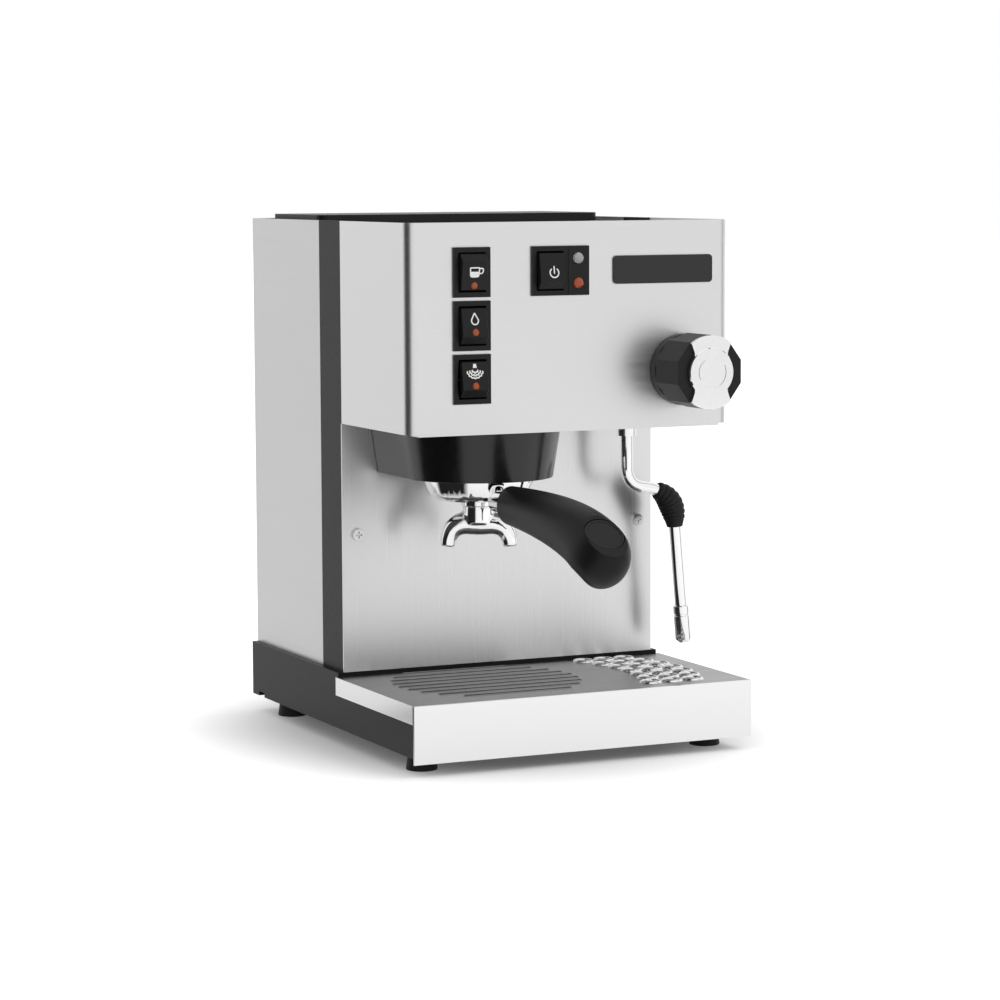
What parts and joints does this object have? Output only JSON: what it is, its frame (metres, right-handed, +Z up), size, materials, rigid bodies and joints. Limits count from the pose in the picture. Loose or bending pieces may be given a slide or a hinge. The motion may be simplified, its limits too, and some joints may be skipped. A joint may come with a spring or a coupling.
{
  "type": "espresso machine",
  "caption": "Home espresso machine in brushed stainless steel with a single group, locking portafilter, steam wand, rocker switches and a sliding drip tray.",
  "frame": {"origin": "on the table between the four feet, 145 mm behind the front plate's face and midway between the sides", "axes": "+X to the machine's right seen from the front, +Y to the back, +Z up"},
  "size_m": [0.2426, 0.4052, 0.341],
  "materials": {
    "black_steel": "satin black paint",
    "stripe_steel": "satin black paint",
    "brushed_side": "fine brushed stainless",
    "brushed_front": "fine brushed stainless",
    "brushed_splash": "fine brushed stainless",
    "bright_screw": "bright zinc",
    "lid_plastic": "satin moulded",
    "clear_plastic": "clear moulded",
    "silicone": "clear silicone",
    "tub_plastic": "satin moulded",
    "polished_plate": "polished stainless",
    "grid_steel": "brushed stainless",
    "foot_rubber": "matt rubber",
    "zinc": "zinc plated",
    "chromed_brass": "bright chrome",
    "shroud_plastic": "satin moulded",
    "basket_steel": "bright stainless",
    "boiler_brass": "bare brass",
    "frame_plastic": "satin moulded",
    "copper": "drawn copper",
    "knob_plastic": "satin moulded",
    "chromed_steel": "polished stainless",
    "grip_rubber": "matt ribbed rubber",
    "handle_plastic": "satin moulded",
    "rocker_plastic": "satin moulded",
    "lamp_plastic": "clear moulded",
    "badge_plate": "gloss black"
  },
  "bodies": {
    "machine": {"base_frame": "black_steel", "upright_frame": "stripe_steel", "side_panel_left": "brushed_side", "side_panel_right": "brushed_side", "back_panel": "brushed_side", "back_screws": "zinc", "head_cover": "brushed_front", "head_floor": "brushed_side", "backsplash": "brushed_splash", "backsplash_screws": "bright_screw", "cup_tray": "brushed_side", "feet": "foot_rubber", "foot_screws": "zinc", "group_bracket": "black_steel", "group_head": "chromed_brass", "group_shroud": "shroud_plastic", "group_gasket": "foot_rubber", "shower_screen": "basket_steel", "screen_screw": "zinc", "boiler": "boiler_brass", "boiler_bolts": "zinc", "heating_element": "zinc", "thermostats": "frame_plastic", "solenoid_valve": "frame_plastic", "drain_tube": "basket_steel", "water_pump": "boiler_brass", "pump_mounts": "foot_rubber", "pump_hose": "silicone", "pressure_pipe": "copper", "steam_pipe": "copper", "steam_valve": "boiler_brass", "wand_nut": "chromed_brass", "switch_frames": "frame_plastic", "power_frame": "frame_plastic", "lamp_lenses": "lamp_plastic", "badge_plate": "badge_plate", "cable_gland": "frame_plastic"},
    "drip_tray": {"drip_tub": "tub_plastic", "tray_front": "polished_plate"},
    "grid": {"drip_grid": "grid_steel"},
    "tank": {"water_tank": "clear_plastic", "tank_hose": "silicone"},
    "lid": {"tank_lid": "lid_plastic"},
    "brew_rocker": {"rocker_brew": "rocker_plastic"},
    "water_rocker": {"rocker_water": "rocker_plastic"},
    "steam_rocker": {"rocker_steam": "rocker_plastic"},
    "power_rocker": {"rocker_power": "rocker_plastic"},
    "knob": {"knob_body": "knob_plastic", "knob_face": "chromed_brass", "valve_spindle": "zinc"},
    "wand_base": {"wand_ring": "frame_plastic"},
    "wand": {"wand_pipe": "chromed_steel", "wand_grip": "grip_rubber", "wand_nozzle": "chromed_steel"},
    "portafilter": {"portafilter_body": "chromed_brass", "portafilter_handle": "handle_plastic", "handle_plug": "handle_plastic", "filter_basket": "basket_steel", "basket_spring": "basket_steel", "double_spout": "chromed_brass"}
  },
  "joints": [
    {"name": "tray_slide", "type": "slide", "parent": "machine", "child": "drip_tray", "axis": [0, -1, 0], "range_m": [0, 0.13]},
    {"name": "grid_lift", "type": "slide", "parent": "drip_tray", "child": "grid", "axis": [0, 0, 1], "range_m": [0, 0.01]},
    {"name": "tank_lift", "type": "slide", "parent": "machine", "child": "tank", "axis": [0, 0, 1], "range_m": [0, 0.28]},
    {"name": "lid_lift", "type": "slide", "parent": "tank", "child": "lid", "axis": [0, 0, 1], "range_m": [0, 0.08]},
    {"name": "brew_rocker_tip", "type": "hinge", "parent": "machine", "child": "brew_rocker", "pos_m": [-0.0685, -0.1254, 0.3075], "axis": [1, 0, 0], "range_deg": [-18, 0]},
    {"name": "water_rocker_tip", "type": "hinge", "parent": "machine", "child": "water_rocker", "pos_m": [-0.0685, -0.1254, 0.2747], "axis": [1, 0, 0], "range_deg": [0, 18]},
    {"name": "steam_rocker_tip", "type": "hinge", "parent": "machine", "child": "steam_rocker", "pos_m": [-0.0685, -0.1254, 0.2419], "axis": [1, 0, 0], "range_deg": [0, 18]},
    {"name": "power_rocker_tip", "type": "hinge", "parent": "machine", "child": "power_rocker", "pos_m": [-0.01555, -0.1254, 0.3075], "axis": [1, 0, 0], "range_deg": [0, 18]},
    {"name": "knob_turn", "type": "hinge", "parent": "machine", "child": "knob", "pos_m": [0.0775, -0.1248, 0.2438], "axis": [0, -1, 0], "range_deg": [0, 450]},
    {"name": "wand_swivel", "type": "hinge", "parent": "machine", "child": "wand_base", "pos_m": [0.0775, -0.0485, 0.2005], "axis": [0, 0, 1], "range_deg": [-110, 20]},
    {"name": "wand_tilt", "type": "hinge", "parent": "wand_base", "child": "wand", "pos_m": [0.0775, -0.0485, 0.2005], "axis": [0, -1, 0], "range_deg": [-3, 8]},
    {"name": "portafilter_turn", "type": "hinge", "parent": "machine", "child": "portafilter", "pos_m": [-0.0393, -0.07, 0.18], "axis": [0, 0, 1], "range_deg": [-45, 0]}
  ]
}
